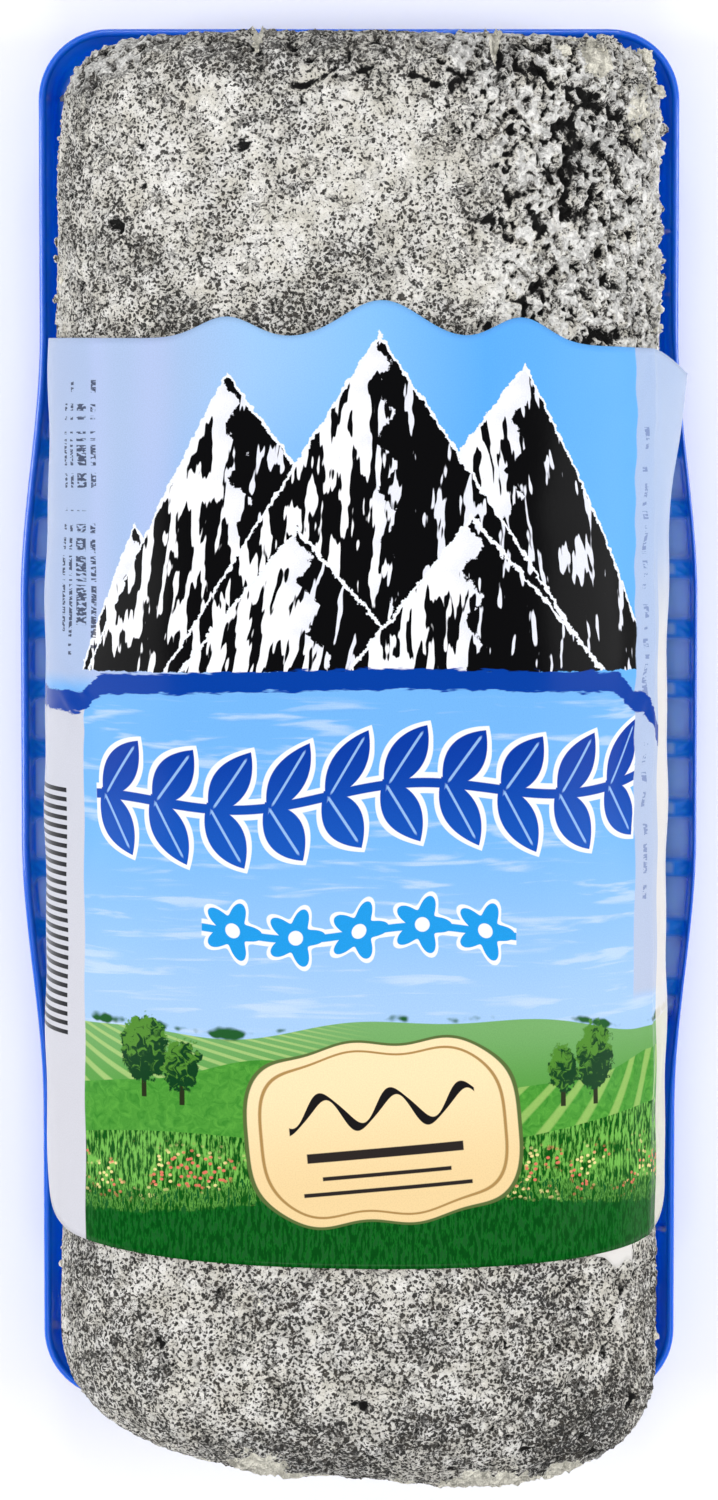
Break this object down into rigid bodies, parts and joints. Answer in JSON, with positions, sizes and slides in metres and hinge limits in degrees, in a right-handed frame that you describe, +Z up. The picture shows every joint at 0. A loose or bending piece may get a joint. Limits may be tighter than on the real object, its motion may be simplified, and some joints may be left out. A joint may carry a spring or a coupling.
{
  "type": "ash-coated goat cheese log in a tray",
  "caption": "Large ash-coated goat cheese log with rounded ends, lying in a ribbed blue tray under a printed paper band.",
  "frame": {"origin": "centre of the bounding box's bottom face, in the plane of the tray's underside", "axes": "+Z up; +Y along the log towards its flat far end, so that -Y is the domed near end; +X across the log, to the right as the picture shows it"},
  "size_m": [0.0964, 0.198, 0.0754],
  "materials": {
    "cheese": "soft white cheese under a mottled coat of grey and black ash, matt, pitted and crumbly",
    "band": "coated printed paper, sky blue above green fields, with a soft gloss",
    "tray": "glossy royal-blue thermoformed plastic"
  },
  "bodies": {
    "root": {"cheese_log": "cheese", "printed_band": "band", "tray": "tray"}
  },
  "joints": []
}
